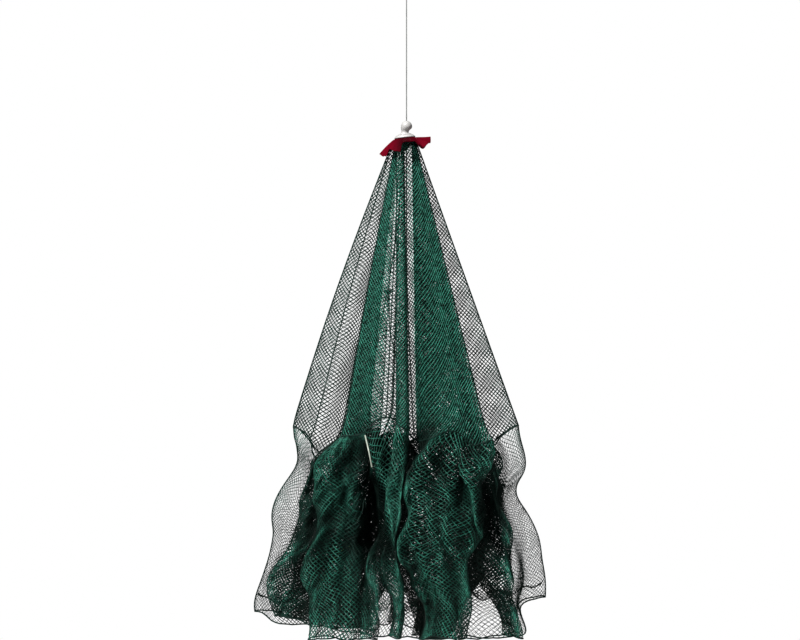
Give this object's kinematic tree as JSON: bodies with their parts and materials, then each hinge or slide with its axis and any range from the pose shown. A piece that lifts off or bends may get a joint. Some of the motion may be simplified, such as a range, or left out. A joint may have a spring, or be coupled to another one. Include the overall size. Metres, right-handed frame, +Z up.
{
  "type": "folding fish trap of net, folded and hanging on its line",
  "caption": "Folded net fish trap hanging from a looped line: pleated canopy under a white cap and red collar, ruffled side wall, inner funnels and bottom net.",
  "frame": {"origin": "the place inside the top of the hanging loop where a hook bears", "axes": "+Z up along the hanging line, +X to the right and +Y away from the viewer, seen from the front"},
  "size_m": [0.4645, 0.3381, 1.0633],
  "materials": {
    "line": "thin grey twisted line",
    "white_plastic": "moulded white plastic",
    "red_cloth": "woven crimson cloth, ruffled",
    "net": "dark green knotted twine mesh",
    "draw_cord": "dark twisted cord",
    "pale_rod": "pale plastic rod",
    "yellow_cord": "yellow-green braided cord"
  },
  "bodies": {
    "root": {"hang_loop": "line", "hang_knot": "line", "hang_cord": "line", "cap": "white_plastic", "washer": "white_plastic", "collar": "red_cloth", "canopy_net": "net", "wall_front": "net", "wall_rear": "net", "funnel_left": "net", "funnel_right": "net", "funnel_centre": "net", "bottom_net": "net", "draw_knot": "draw_cord", "draw_cord_main": "draw_cord", "draw_cord_left": "draw_cord", "draw_cord_centre": "draw_cord", "draw_cord_right": "draw_cord", "rod": "pale_rod", "funnel_cord": "yellow_cord"}
  },
  "joints": []
}
